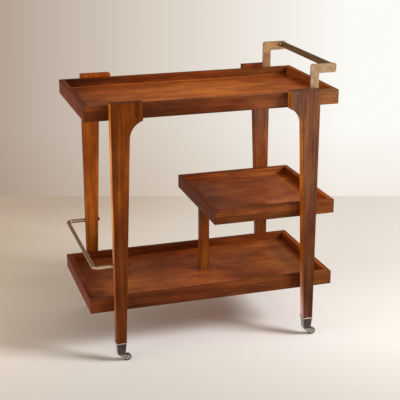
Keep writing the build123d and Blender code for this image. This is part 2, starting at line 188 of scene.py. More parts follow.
@dataclass(frozen=True)
class LacqueredWood:
    """Wood under a thin satin film: dark and light streaks along the grain in a warm ground, and a soft sheen."""

    # Plain-sawn mahogany, stained by hand and rubbed to a satin lacquer. It gives the eye long dark streaks on a
    # warm ground, cloudy patches where the stain took more, burnt arrises and a broad weak gloss.
    # Real fibres are about 0.5 mm wide and pores 0.2 mm: too fine for this render, so both are drawn 4 to 6 times
    # as coarse. Bands, streaks and growth rings keep the size of real ones.
    name: str
    pore: str = "#2c1409"
    # Where the ground lies between the dark streaks at 0 and the light ones at 1.
    body_place: float = 0.45
    # Sizes of the figure, in millimetres.
    band_width: float = 26.0
    band_length: float = 700.0
    streak_width: float = 9.0
    streak_length: float = 190.0
    fibre_width: float = 3.2
    fibre_length: float = 150.0
    pore_width: float = 0.9
    pore_length: float = 16.0
    # Growth rings round a pith below the face: their waves sway by this many rings, and the pith leaves the
    # board by this share of its length. What is under the limit is early wood.
    ring_width: float = 7.5
    ring_sway: float = 4.0
    ring_wave: tuple[float, float] = (40.0, 320.0)
    ring_limit: float = -0.6
    pith_depth: float = 70.0
    pith_slope: float = 0.03
    # Width of the boards that a panel is glued up from, or 0 for one board, and how far apart in the log they lay.
    board_width: float = 0.0
    board_jump: tuple[float, float, float] = (3.0, 0.4, 0.4)
    # How much each layer counts in the colour, what brings the sum to its middle, and its contrast.
    band_share: float = 1.0
    streak_share: float = 0.9
    fibre_share: float = 0.5
    ring_share: float = -0.1
    middle: float = -1.15
    figure: float = 1.2
    # Clouds where the stain took more or less.
    mottle_width: float = 34.0
    mottle_length: float = 95.0
    mottle_limits: tuple[float, float] = (0.36, 0.64)
    mottle_dark: tuple[float, float, float] = (0.74, 0.66, 0.72)
    mottle_bright: tuple[float, float, float] = (1.24, 1.3, 1.05)
    mottling: float = 0.8
    # Arrises, where the stain soaked in deeper; the limits are cosines between the face and its rounded edge.
    edge_width: float = 2.4
    edge_burn: float = 0.7
    edge_limits: tuple[float, float] = (0.995, 0.9)
    edge_tint: tuple[float, float, float] = (0.42, 0.36, 0.4)
    # Open pores, under a film that follows them.
    pore_limits: tuple[float, float] = (0.56, 0.72)
    pore_share: float = 0.55
    pore_relief: float = -0.5
    relief_strength: float = 0.25
    relief_depth: float = 0.12
    roughness: float = 0.45
    roughness_drift: float = 0.1
    ior: float = 1.5
    gloss: float = 0.08
    sheen: str = "#ffd0a4"
    lacquer: float = 0.03
    lacquer_roughness: float = 0.18

    def stretched(self, tree: bpy.types.NodeTree, place: Any, width: float, length: float, **noise: float) -> Any:
        """Adds noise drawn out along the grain.

        Args:
            tree: Node tree of the material.
            place: Socket with along, across and deep in metres.
            width: Width of a streak in millimetres.
            length: Length of a streak in millimetres.
            **noise: Further sockets of the noise, such as Detail.

        Returns:
            Socket with the noise from 0 to 1.
        """
        across = 1 / (width * MM)
        scale = (1 / (length * MM), across, across)
        drawn = add_node(tree, "ShaderNodeVectorMath", {0: place, 1: scale}, operation="MULTIPLY")
        sockets = {"Vector": drawn.outputs[0], "Scale": 1.0, **noise}
        return add_node(tree, "ShaderNodeTexNoise", sockets).outputs["Fac"]

    def sawn(self, tree: bpy.types.NodeTree, grain: Grain, shift: Vector) -> Any:
        """Turns the object's coordinates so that the first one runs along the grain.

        Args:
            tree: Node tree of the material.
            grain: Direction of the grain in the cart.
            shift: Where in the log this piece was cut, in metres.

        Returns:
            Socket with along, across and deep.
        """
        place = add_node(tree, "ShaderNodeTexCoord").outputs["Object"]
        parts = add_node(tree, "ShaderNodeSeparateXYZ", {0: place})
        turned = {i: parts.outputs[axis] for i, axis in enumerate(grain.value)}
        place = add_node(tree, "ShaderNodeCombineXYZ", turned).outputs[0]
        place = add_node(tree, "ShaderNodeVectorMath", {0: place, 1: shift}, operation="ADD").outputs[0]
        if self.board_width:
            across = add_node(tree, "ShaderNodeSeparateXYZ", {0: place}).outputs["Y"]
            steps = {0: across, 1: self.board_width * MM}
            board = add_node(tree, "ShaderNodeMath", steps, operation="DIVIDE").outputs[0]
            board = add_node(tree, "ShaderNodeMath", {0: board}, operation="FLOOR").outputs[0]
            jump = add_node(tree, "ShaderNodeTexWhiteNoise", {"W": board}, noise_dimensions="1D")
            moved = {0: jump.outputs["Color"], 1: self.board_jump, 2: place}
            place = add_node(tree, "ShaderNodeVectorMath", moved, operation="MULTIPLY_ADD").outputs[0]
        return place

    def rings(self, tree: bpy.types.NodeTree, place: Any) -> Any:
        """Draws the growth rings as cut shells round a pith below the face.

        Args:
            tree: Node tree of the material.
            place: Socket with along, across and deep in metres.

        Returns:
            Socket that is 1 on late wood.
        """
        wander = self.stretched(tree, place, *self.ring_wave, Detail=2.0)
        flat = {0: place, 1: (self.pith_slope, 1.0, 1.0), 2: (0.0, 0.0, self.pith_depth * MM)}
        shell = add_node(tree, "ShaderNodeVectorMath", flat, operation="MULTIPLY_ADD").outputs[0]
        radius = add_node(tree, "ShaderNodeVectorMath", {0: shell}, operation="LENGTH").outputs["Value"]
        bent = {0: wander, 1: self.ring_sway * self.ring_width * MM, 2: radius}
        radius = add_node(tree, "ShaderNodeMath", bent, operation="MULTIPLY_ADD").outputs[0]
        turns = {0: radius, 1: math.tau / (self.ring_width * MM)}
        wave = add_node(tree, "ShaderNodeMath", turns, operation="MULTIPLY").outputs[0]
        wave = add_node(tree, "ShaderNodeMath", {0: wave}, operation="SINE").outputs[0]
        late = {"Value": wave, "From Min": self.ring_limit, "From Max": 1.0}
        return add_node(tree, "ShaderNodeMapRange", late).outputs[0]

    def material(
        self, piece: str, grain: Grain, stain: Stain, shift: Vector, tones: Sequence[Tone] = ()
    ) -> bpy.types.Material:
        """Makes the finish for one piece of wood.

        Args:
            piece: Name of the piece, which goes into the material's name.
            grain: Direction of its grain.
            stain: Colours of its stain.
            shift: Where in the log it was cut, in metres.
            tones: Where light and shade are painted into this piece's colour.

        Returns:
            The finished material.
        """
        material, tree, output = new_material(f"{self.name}.{piece}")
        place = self.sawn(tree, grain, shift)
        bands = self.stretched(tree, place, self.band_width, self.band_length, Detail=3.0, Roughness=0.55)
        streaks = self.stretched(tree, place, self.streak_width, self.streak_length, Detail=2.0, Roughness=0.5)
        fibres = self.stretched(tree, place, self.fibre_width, self.fibre_length, Detail=3.0, Roughness=0.6)
        pores = self.stretched(tree, place, self.pore_width, self.pore_length, Detail=2.0)
        rings = self.rings(tree, place)

        shares = (self.band_share, self.streak_share, self.fibre_share, self.ring_share)
        tone: Any = self.middle
        for layer, share in zip((bands, streaks, fibres, rings), shares, strict=True):
            added = {0: layer, 1: share, 2: tone}
            tone = add_node(tree, "ShaderNodeMath", added, operation="MULTIPLY_ADD").outputs[0]
        half = 0.5 / self.figure
        tone = add_node(tree, "ShaderNodeMapRange", {"Value": tone, "From Min": -half, "From Max": half}).outputs[0]
        stops = ((0.0, stain.deep), (self.body_place, stain.body), (1.0, stain.bright))
        colour = add_node(tree, "ShaderNodeValToRGB", {"Fac": tone}, stops=stops).outputs[0]
        # Painted light and shade laid over the stain.
        for painted_light_and_shade in tones:
            colour = painted_light_and_shade.over(tree, colour)

        least, full = self.mottle_limits
        mottle = self.stretched(tree, place, self.mottle_width, self.mottle_length, Detail=3.0, Roughness=0.6)
        mottle = {"Value": mottle, "From Min": least, "From Max": full}
        mottle = add_node(tree, "ShaderNodeMapRange", mottle).outputs[0]
        cloud = {0: mottle, 6: (*self.mottle_dark, 1.0), 7: (*self.mottle_bright, 1.0)}
        cloud = add_node(tree, "ShaderNodeMix", cloud, data_type="RGBA").outputs[2]
        clouded = {0: self.mottling, 6: colour, 7: cloud}
        colour = add_node(tree, "ShaderNodeMix", clouded, data_type="RGBA", blend_type="MULTIPLY").outputs[2]
        least, full = self.edge_limits
        rounded = add_node(tree, "ShaderNodeBevel", {"Radius": self.edge_width * MM}, samples=4).outputs[0]
        flat = add_node(tree, "ShaderNodeNewGeometry").outputs["Normal"]
        edge = add_node(tree, "ShaderNodeVectorMath", {0: rounded, 1: flat}, operation="DOT_PRODUCT")
        edge = {"Value": edge.outputs["Value"], "From Min": least, "From Max": full, "To Max": self.edge_burn}
        edge = add_node(tree, "ShaderNodeMapRange", edge).outputs[0]
        burnt = {0: edge, 6: colour, 7: (*self.edge_tint, 1.0)}
        colour = add_node(tree, "ShaderNodeMix", burnt, data_type="RGBA", blend_type="MULTIPLY").outputs[2]
        least, full = self.pore_limits
        worn = add_node(tree, "ShaderNodeMapRange", {"Value": pores, "From Min": least, "From Max": full}).outputs[0]
        shade = add_node(tree, "ShaderNodeMath", {0: worn, 1: self.pore_share}, operation="MULTIPLY").outputs[0]
        darker = {0: shade, 6: colour, 7: linear(self.pore)}
        colour = add_node(tree, "ShaderNodeMix", darker, data_type="RGBA").outputs[2]

        rough = {0: fibres, 1: self.roughness_drift, 2: self.roughness - self.roughness_drift / 2}
        rough = add_node(tree, "ShaderNodeMath", rough, operation="MULTIPLY_ADD").outputs[0]
        relief = {0: worn, 1: self.pore_relief, 2: fibres}
        relief = add_node(tree, "ShaderNodeMath", relief, operation="MULTIPLY_ADD").outputs[0]
        bump = {"Height": relief, "Strength": self.relief_strength, "Distance": self.relief_depth * MM}
        bump = add_node(tree, "ShaderNodeBump", bump).outputs[0]
        surface = {
            "Base Color": colour,
            "Roughness": rough,
            "Normal": bump,
            "IOR": self.ior,
            "Specular IOR Level": self.gloss,
            "Specular Tint": linear(self.sheen),
            "Coat Weight": self.lacquer,
            "Coat Roughness": self.lacquer_roughness,
        }
        shader = add_node(tree, "ShaderNodeBsdfPrincipled", surface)
        tree.links.new(shader.outputs[0], output.inputs["Surface"])
        return material


@dataclass(frozen=True)
class Metal:
    """Bare or plated metal, brushed or tumbled: fine scratches along one axis and faint cloudy wear."""

    # Brushing lines are 0.05 mm apart on the real metal: too fine for this render, so they are drawn 0.4 mm wide.
    # They and the clouds of handling give the eye a soft, uneven reflection instead of a mirror.
    name: str
    colour: str
    worn: str
    roughness: float
    roughness_drift: float = 0.12
    scratch_width: float = 0.4
    scratch_length: float = 30.0
    scratch_depth: float = 0.02
    scratch_strength: float = 0.3
    scratch_share: float = 0.4
    cloud_size: float = 14.0
    cloud_limits: tuple[float, float] = (0.45, 0.95)
    # Painted highlight: its colour, the height above the floor from which it is painted on, or 0 for nowhere, and
    # how far it fades in.
    rim_highlight: str = "#efe4d6"
    rim_highlight_height: float = 0.0
    rim_highlight_fade: float = 1.2

    def material(self, grain: Grain, tones: Sequence[Tone] = ()) -> bpy.types.Material:
        """Makes the finish with its scratches along one axis.

        Args:
            grain: Direction of the brushing.
            tones: Places where light or a reflection is painted into the plating.

        Returns:
            The finished material.
        """
        material, tree, output = new_material(self.name)
        place = add_node(tree, "ShaderNodeTexCoord").outputs["Object"]
        scale = {axis: 1 / (self.scratch_width * MM) for axis in "XYZ"}
        scale[grain.value[0]] = 1 / (self.scratch_length * MM)
        drawn = {0: place, 1: Vector(scale[axis] for axis in "XYZ")}
        drawn = add_node(tree, "ShaderNodeVectorMath", drawn, operation="MULTIPLY").outputs[0]
        scratch = add_node(tree, "ShaderNodeTexNoise", {"Vector": drawn, "Scale": 1.0, "Detail": 2.0}).outputs["Fac"]
        cloudy = {"Vector": place, "Scale": 1 / (self.cloud_size * MM), "Detail": 3.0}
        cloud = add_node(tree, "ShaderNodeTexNoise", cloudy).outputs["Fac"]
        both = {0: scratch, 1: self.scratch_share, 2: cloud}
        both = add_node(tree, "ShaderNodeMath", both, operation="MULTIPLY_ADD").outputs[0]
        least, full = self.cloud_limits
        tone = add_node(tree, "ShaderNodeMapRange", {"Value": both, "From Min": least, "From Max": full}).outputs[0]
        stops = ((0.0, self.worn), (1.0, self.colour))
        colour = add_node(tree, "ShaderNodeValToRGB", {"Fac": tone}, stops=stops).outputs[0]
        # Painted highlight: a pale line painted on from the given height up.
        if self.rim_highlight_height:
            height = add_node(tree, "ShaderNodeSeparateXYZ", {0: place}).outputs["Z"]
            low, high = self.rim_highlight_height * MM, (self.rim_highlight_height + self.rim_highlight_fade) * MM
            height = add_node(tree, "ShaderNodeMapRange", {"Value": height, "From Min": low, "From Max": high})
            bright = {0: height.outputs[0], 6: colour, 7: linear(self.rim_highlight)}
            colour = add_node(tree, "ShaderNodeMix", bright, data_type="RGBA").outputs[2]
        # Painted light or reflection laid over the plating.
        for painted_light_and_shade in tones:
            colour = painted_light_and_shade.over(tree, colour)
        rough = {0: tone, 1: -self.roughness_drift, 2: self.roughness + self.roughness_drift / 2}
        rough = add_node(tree, "ShaderNodeMath", rough, operation="MULTIPLY_ADD").outputs[0]
        bump = {"Height": scratch, "Strength": self.scratch_strength, "Distance": self.scratch_depth * MM}
        bump = add_node(tree, "ShaderNodeBump", bump).outputs[0]
        surface = {"Base Color": colour, "Metallic": 1.0, "Roughness": rough, "Normal": bump}
        shader = add_node(tree, "ShaderNodeBsdfPrincipled", surface)
        tree.links.new(shader.outputs[0], output.inputs["Surface"])
        return material


@dataclass(frozen=True)
class Moulded:
    """Moulded rubber: an even dull skin with a fine grit and patches of dust."""

    # The skin copies its mould: dull and even, so the eye sees a soft highlight and paler patches of dust.
    # Its real grit is finer than 0.1 mm, too fine for this render, so it is drawn 0.5 mm wide.
    name: str
    colour: str
    dust: str
    roughness: float
    grit: float = 0.5
    grit_strength: float = 0.4
    grit_depth: float = 0.03
    dust_size: float = 6.0
    dust_limits: tuple[float, float] = (0.4, 0.8)
    ior: float = 1.5

    def material(self) -> bpy.types.Material:
        """Makes the moulded finish.

        Returns:
            The finished material.
        """
        material, tree, output = new_material(self.name)
        place = add_node(tree, "ShaderNodeTexCoord").outputs["Object"]
        fine = {"Vector": place, "Scale": 1 / (self.grit * MM), "Detail": 2.0}
        fine = add_node(tree, "ShaderNodeTexNoise", fine).outputs["Fac"]
        patches = {"Vector": place, "Scale": 1 / (self.dust_size * MM), "Detail": 4.0}
        patches = add_node(tree, "ShaderNodeTexNoise", patches).outputs["Fac"]
        least, full = self.dust_limits
        dusty = {"Value": patches, "From Min": least, "From Max": full}
        dusty = add_node(tree, "ShaderNodeMapRange", dusty).outputs[0]
        stops = ((0.0, self.colour), (1.0, self.dust))
        colour = add_node(tree, "ShaderNodeValToRGB", {"Fac": dusty}, stops=stops).outputs[0]
        bump = {"Height": fine, "Strength": self.grit_strength, "Distance": self.grit_depth * MM}
        bump = add_node(tree, "ShaderNodeBump", bump).outputs[0]
        surface = {"Base Color": colour, "Roughness": self.roughness, "Normal": bump, "IOR": self.ior}
        shader = add_node(tree, "ShaderNodeBsdfPrincipled", surface)
        tree.links.new(shader.outputs[0], output.inputs["Surface"])
        return material


@dataclass
class Tray:
    """One tray: four mitred rails with their grain along them and a panel with its grain along the cart."""

    name: str
    # Solid mahogany rails, stained dark, and a lighter glued-up panel, polished by use: the eye sees a frame of
    # dark lines round a calm, warmer field.
    rail: LacqueredWood = LacqueredWood("stained_mahogany_rail")
    panel: LacqueredWood = LacqueredWood(
        "stained_mahogany_panel",
        gloss=0.2,
        board_width=95.0,
        figure=0.5,
        mottle_width=55.0,
        mottle_length=90.0,
        mottling=0.9,
    )
    # Place of the tray from the top down, and the stain of each panel in that order.
    number: int = 0
    panel_stains: tuple[Stain, ...] = (
        Stain("#7a3814", "#a4511d", "#c4752f"),
        Stain("#5f2c16", "#7f4020", "#a05c34"),
        Stain("#65301a", "#8a4824", "#aa6636"),
    )
    # Where in the log each piece was cut, in metres: from one rail to the next, from one tray to the next, and
    # for the panels from the first to the next.
    rail_step: tuple[float, float, float] = (0.7, 0.31, 0.0)
    tray_step: tuple[float, float, float] = (1.9, 0.0, 0.17)
    panel_start: tuple[float, float, float] = (0.4, 0.05, 0.0)
    panel_step: tuple[float, float, float] = (2.3, 0.0, 0.21)
    # Painted light and shade: lit tops and sides, painted shade and sheen, and lighter or darker bands on each
    # piece.
    painted_light_and_shade: Mapping[str, tuple[Tone, ...]] = field(
        default_factory=lambda: {
            "top_tray_front_rail": (
                # Painted light on the top face.
                Tone((1.6, 2.0, 2.2), face=Face.TOP),
                Tone((0.66, 0.7, 0.76), Axis.X, 40, -150),
                Tone((1.45, 1.4, 1.15), Axis.X, -290, -330),
                Tone((1.35, 1.8, 2.4), Axis.X, 0, 200),
                # Painted sheen at the right end.
                Tone((1.4, 1.75, 2.0), Axis.X, 325, 345),
            ),
            "top_tray_right_rail": (Tone((1.75, 2.1, 2.1), face=Face.LEFT),),
            "top_tray_back_rail": (
                # Painted shade towards the left end.
                Tone((0.28, 0.27, 0.45), Axis.X, -150, -390),
                Tone((0.85, 1.1, 1.3), Axis.X, 60, 300),
            ),
            "top_tray_left_rail": (Tone((1.5, 1.1, 1.1), face=Face.LEFT),),
            "top_tray_panel": (
                Tone((0.64, 0.6, 0.8), Axis.X, -130, -360),
                Tone((1.25, 1.35, 1.35), Axis.X, -120, 40),
                Tone((0.74, 0.66, 0.7), Axis.X, 200, 300),
                Tone((1.4, 1.4, 0.9), Axis.X, 335, 365),
                # Painted shade towards the back rail.
                Tone((0.66, 0.58, 0.62), Axis.Y, 80, 175),
                # Painted highlight: a thin light line along the back of the panel.
                Tone((2.6, 3.6, 6.4), Axis.Y, 174, 180),
            ),
            "middle_shelf_front_rail": (
                Tone((1.5, 1.8, 2.0), face=Face.TOP),
                Tone((1.1, 1.3, 1.3), face=Face.FRONT),
                Tone((1.3, 1.35, 1.35), Axis.X, 325, 345),
            ),
            "middle_shelf_left_rail": (Tone((1.2, 1.0, 1.0), face=Face.LEFT),),
            "middle_shelf_right_rail": (Tone((1.8, 1.8, 1.1), Axis.Y, 20, -60, Face.LEFT),),
            "middle_shelf_back_rail": (Tone((1.8, 2.5, 3.0), Axis.X, 60, 240, Face.FRONT),),
            "middle_shelf_panel": (
                Tone((0.68, 0.8, 1.3), Axis.X, 150, 15),
                Tone((1.25, 1.3, 1.4), Axis.X, 170, 280),
                Tone((0.85, 0.9, 1.1), Axis.Y, 60, 150),
                Tone((2.2, 2.1, 0.9), Axis.X, 335, 358),
                Tone((1.5, 1.6, 1.9), Axis.Y, 0, -150),
            ),
            "bottom_tray_front_rail": (
                Tone((1.4, 1.6, 1.8), face=Face.TOP),
                Tone((0.74, 0.78, 0.8), Axis.X, -120, -220),
                Tone((1.7, 1.75, 1.6), Axis.X, -270, -320),
                Tone((1.25, 1.45, 1.35), Axis.X, -20, 70),
                Tone((0.75, 0.6, 0.55), Axis.X, 225, 280),
                Tone((1.4, 2.0, 2.3), Axis.X, 325, 345),
            ),
            "bottom_tray_left_rail": (Tone((1.6, 1.2, 1.15), face=Face.LEFT),),
            "bottom_tray_right_rail": (Tone((1.4, 1.5, 1.4), face=Face.LEFT),),
            "bottom_tray_panel": (
                Tone((0.58, 0.5, 0.55), Axis.X, -280, -370),
                Tone((1.4, 1.28, 1.28), Axis.X, -150, 20),
                Tone((0.58, 0.6, 0.62), Axis.X, 20, 190),
                Tone((1.22, 1.3, 1.28), Axis.X, 200, 280),
                Tone((0.7, 0.74, 0.76), Axis.X, 285, 318),
                Tone((1.9, 1.8, 1.2), Axis.X, 343, 362),
                Tone((1.15, 1.12, 1.0), Axis.Y, 90, 150),
            ),
        }
    )

    def dress(self) -> None:
        """Gives each rail and the panel its own cut of wood."""
        # The right and back rails are painted lighter than the others: painted light on their inner faces.
        runs = (
            ("front_rail", Grain.ALONG_X, Stain("#3d1909", "#572710", "#78391a")),
            ("right_rail", Grain.ALONG_Y, Stain("#5c2810", "#864017", "#a85a24")),
            ("back_rail", Grain.ALONG_X, Stain("#4a1f0c", "#6b3013", "#8d451d")),
            ("left_rail", Grain.ALONG_Y, Stain("#451d0d", "#602a14", "#803d1e")),
        )
        for i, (run, grain, stain) in enumerate(runs):
            steps = zip(self.rail_step, self.tray_step, strict=True)
            shift = Vector([by_rail * i + by_tray * self.number for by_rail, by_tray in steps])
            node = f"{self.name}_{run}"
            dress(node, self.rail.material(node, grain, stain, shift, self.painted_light_and_shade.get(node, ())))
        node = f"{self.name}_panel"
        steps = zip(self.panel_step, self.panel_start, strict=True)
        shift = Vector([step * self.number + start for step, start in steps])
        stain = self.panel_stains[self.number]
        dress(node, self.panel.material(node, Grain.ALONG_X, stain, shift, self.painted_light_and_shade.get(node, ())))
        log.info("%s dressed", self.name)


@dataclass
class Legs:
    """The four flagged legs and the post, with their grain upright, and the dowels in their joints."""

    # Solid mahogany planks, sawn along the grain and stained: the eye sees upright streaks between dark arrises.
    plank: LacqueredWood = LacqueredWood("stained_mahogany_leg")
    # Turned beech dowels, bare: pale and even, and hidden in the joints.
    dowel: LacqueredWood = LacqueredWood("turned_beech_dowel", pore="#9a6f42", roughness=0.6, lacquer=0.0)
    beech: Stain = Stain("#b98c5a", "#cda674", "#dcbd90")
    # Where in the log each leg and the dowels were cut, in metres.
    leg_step: tuple[float, float, float] = (1.3, 0.37, 0.11)
    dowel_shift: tuple[float, float, float] = (0.5, 0.2, 0.1)
    # Each leg's colours. The right legs are painted greyer as a painted sheen, the rear left one lighter as painted
    # light.
    stains_and_painted_light: Mapping[str, Stain] = field(
        default_factory=lambda: {
            "leg_front_left": Stain("#421c06", "#68300d", "#8e4c1b"),
            "leg_front_right": Stain("#3c2522", "#67402d", "#8e5633"),
            "leg_rear_left": Stain("#682d09", "#984a12", "#bd6a28"),
            "leg_rear_right": Stain("#53301f", "#82492c", "#a0653c"),
            "shelf_post": Stain("#5a280c", "#854013", "#a85a24"),
        }
    )
    # Painted light and shade: lit left sides, a painted reflection near a foot, and lighter or darker bands up each
    # plank.
    painted_light_and_shade: Mapping[str, tuple[Tone, ...]] = field(
        default_factory=lambda: {
            "leg_front_left": (
                # Painted light on the left side.
                Tone((6.8, 12.6, 26.0), face=Face.LEFT),
                Tone((0.62, 0.46, 0.42), Axis.Z, 440, 260, Face.LEFT),
                Tone((0.72, 0.66, 1.0), Axis.Z, 200, 80, Face.LEFT),
                Tone((0.68, 0.58, 0.22), Axis.Z, 660, 745),
                Tone((0.72, 0.72, 0.9), Axis.Z, 560, 330),
            ),
            "leg_front_right": (
                Tone((6.6, 5.6, 1.0), face=Face.LEFT),
                Tone((0.72, 0.62, 0.7), Axis.Z, 680, 700, Face.LEFT),
                # Painted reflection low on the left side.
                Tone((1.4, 3.1, 28.0), Axis.Z, 290, 110, Face.LEFT),
                Tone((0.68, 0.78, 1.2), Axis.X, 295, 235),
                Tone((0.62, 0.48, 0.35), Axis.Z, 620, 330),
                Tone((1.2, 1.35, 2.2), Axis.Z, 150, 80),
            ),
            "leg_rear_left": (
                Tone((1.25, 1.35, 1.5), Axis.Z, 560, 390),
                Tone((0.6, 0.62, 0.55), Axis.Z, 400, 250),
                Tone((0.8, 0.65, 0.6), Axis.Z, 720, 748),
            ),
            "leg_rear_right": (
                Tone((0.66, 0.76, 1.2), Axis.Z, 570, 650),
                Tone((1.4, 0.75, 0.5), Axis.Z, 700, 745),
                Tone((1.8, 1.6, 1.4), face=Face.LEFT),
                Tone((0.92, 0.78, 0.52), Axis.Z, 600, 430),
                Tone((0.62, 0.58, 0.6), Axis.Z, 400, 330),
            ),
            "shelf_post": (
                Tone((1.1, 1.3, 1.45), Axis.Z, 350, 270),
                Tone((0.52, 0.66, 1.2), Axis.Z, 330, 420),
            ),
        }
    )

    def dress(self) -> None:
        """Gives each leg and the post its own cut of wood, and the dowels bare beech."""
        for i, (node, stain) in enumerate(self.stains_and_painted_light.items()):
            shift = Vector([step * i for step in self.leg_step])
            dress(node, self.plank.material(node, Grain.ALONG_Z, stain, shift, self.painted_light_and_shade.get(node, ())))
        for node, grain in (("leg_dowels", Grain.ALONG_Y), ("post_dowels", Grain.ALONG_Z)):
            dress(node, self.dowel.material(node, grain, self.beech, Vector(self.dowel_shift)))
        log.info("legs, post and dowels dressed")


@dataclass
class Handle:
    """Push handle: two flat brackets, a round bar with collars, and the screws behind the legs."""

    # Flat brass strip, brushed and aged: a matt, warm tan face without a clear reflection.
    plate: Metal = Metal("brushed_antique_brass", "#a68a6e", "#8f7355", roughness=0.5)
    # The same strip with its colour painted brighter: painted light on the rear bracket, which the lamps light less.
    lit_rear_plate: Metal = Metal("painted_light_antique_brass", "#c29a72", "#a87f58", roughness=0.5)
    # Round brass bar, brushed along its length and aged: a dark olive top and a redder underside.
    bar: Metal = Metal("brushed_aged_brass", "#b89a76", "#94785a", roughness=0.55)
    # Turned and polished brass: a small bright line at each end of the bar.
    ring: Metal = Metal("polished_brass_ring", "#ecd2b2", "#d2b28c", roughness=0.35)
    # Zinc-plated screws: cold grey, and hidden behind the legs.
    steel: Metal = Metal("zinc_plated_steel", "#b9b7b0", "#93908a", roughness=0.35)

    def dress(self) -> None:
        """Gives the brackets, collars, bar and screws their metals."""
        plate = self.plate.material(Grain.ALONG_Z)
        dress("handle_bracket_front", plate)
        dress("handle_collars", self.ring.material(Grain.ALONG_Z))
        dress("handle_bracket_rear", self.lit_rear_plate.material(Grain.ALONG_Z))
        dress("handle_bar", self.bar.material(Grain.ALONG_Y))
        dress("bracket_screws", self.steel.material(Grain.ALONG_Y))
        log.info("handle dressed")


@dataclass
class BottleRail:
    """Bent rod round the left end with its two cap nuts."""

    # Drawn brass rod with a satin finish: one long pale highlight with soft edges.
    rod: Metal = Metal("satin_pale_brass", "#d2b79c", "#b39678", roughness=0.42)
    # Cap nuts blackened with age: a dark dot with a small glint.
    nut: Metal = Metal("blackened_brass", "#4a3526", "#33241a", roughness=0.45)

    def dress(self) -> None:
        """Gives the rod and its nuts their metals."""
        dress("bottle_rail", self.rod.material(Grain.ALONG_Y))
        dress("bottle_rail_nuts", self.nut.material(Grain.ALONG_X))
        log.info("bottle rail dressed")


@dataclass
class Casters:
    """Four swivel casters: cup, sleeve, horn, axle, tyre and hub."""

    # Cast cup, nickel-plated and blackened: a dark grey socket with a painted highlight along its top edge.
    cup: Metal = Metal("blackened_nickel", "#5f5450", "#433b39", roughness=0.3, rim_highlight_height=63.6)
    # Painted reflection: the cups' left faces are painted paler than their fronts.
    cup_painted_reflection: tuple[Tone, ...] = (Tone((4.4, 4.8, 5.8), face=Face.LEFT),)
    # Cast horn and axle, nickel-plated and tumbled: mid grey with soft glints on every curve.
    horn: Metal = Metal("tumbled_nickel", "#c6bdb6", "#544c4a", roughness=0.26, cloud_size=7.0)
    # Turned steel sleeve: a plain grey ring above the cup, hidden in the leg.
    steel: Metal = Metal("turned_steel", "#b5b3ae", "#8f8c86", roughness=0.35)
    # Moulded rubber: nearly black and dull, with a little dust.
    tyre: Moulded = Moulded("moulded_dark_rubber", "#2b2724", "#47403a", roughness=0.55)
    # Turned hub, nickel-plated and polished: the palest glint of the caster.
    hub: Metal = Metal("machined_pale_nickel", "#c9c4bc", "#9f9992", roughness=0.28)

    def dress(self) -> None:
        """Gives every piece of every caster its finish."""
        cup = self.cup.material(Grain.ALONG_Z, self.cup_painted_reflection)
        horn = self.horn.material(Grain.ALONG_X)
        tyre = self.tyre.material()
        hub = self.hub.material(Grain.ALONG_Y)
        for place in ("front_left", "front_right", "rear_left", "rear_right"):
            dress(f"caster_cup_{place}", cup)
            dress(f"caster_fork_{place}", horn)
            dress(f"caster_axle_{place}", horn)
            dress(f"caster_tyre_{place}", tyre)
            dress(f"caster_hub_{place}", hub)
        dress("caster_sleeves", self.steel.material(Grain.ALONG_Z))
        log.info("casters dressed")


@dataclass
class Viewpoint:
    """Camera that stands where the photograph was taken from, fitted to the cart's edges."""

    # Metres, radians from level and from the cart's front, and millimetres of lens and film.
    place: tuple[float, float, float] = (-0.92914, -3.01984, 1.49744)
    tilt: float = -0.325676
    turn: float = -0.302615
    lens: float = 91.5776
    sensor: float = 36.0
    far: float = 60.0

    def build(self) -> None:
        """Makes the camera and makes it the scene's own."""
        data = bpy.data.cameras.new("camera")
        data.lens = self.lens
        data.sensor_width = self.sensor
        data.clip_end = self.far
        camera = bpy.data.objects.new("camera", data)
        camera.location = self.place
        camera.rotation_euler = (math.pi / 2 + self.tilt, 0.0, self.turn)
        bpy.context.scene.collection.objects.link(camera)
        bpy.context.scene.camera = camera


@dataclass(frozen=True)
class Softbox:
    """Square lamp behind white cloth, set up by its middle, its size and how bright its cloth is."""

    name: str
    place: tuple[float, float, float]
    width: float
    height: float
    radiance: float
    colour: tuple[float, float, float]
    target: tuple[float, float, float] = (0.0, 0.0, 0.45)

    def build(self) -> None:
        """Makes the lamp and turns it to its target."""
        data = bpy.data.lights.new(self.name, "AREA")
        data.shape = "RECTANGLE"
        data.size = self.width
        data.size_y = self.height
        data.energy = self.radiance * math.pi * self.width * self.height
        data.color = self.colour
        lamp = bpy.data.objects.new(self.name, data)
        lamp.location = self.place
        lamp.rotation_mode = "QUATERNION"
        lamp.rotation_quaternion = (Vector(self.place) - Vector(self.target)).to_track_quat("Z", "Y")
        lamp.visible_camera = False
        bpy.context.scene.collection.objects.link(lamp)


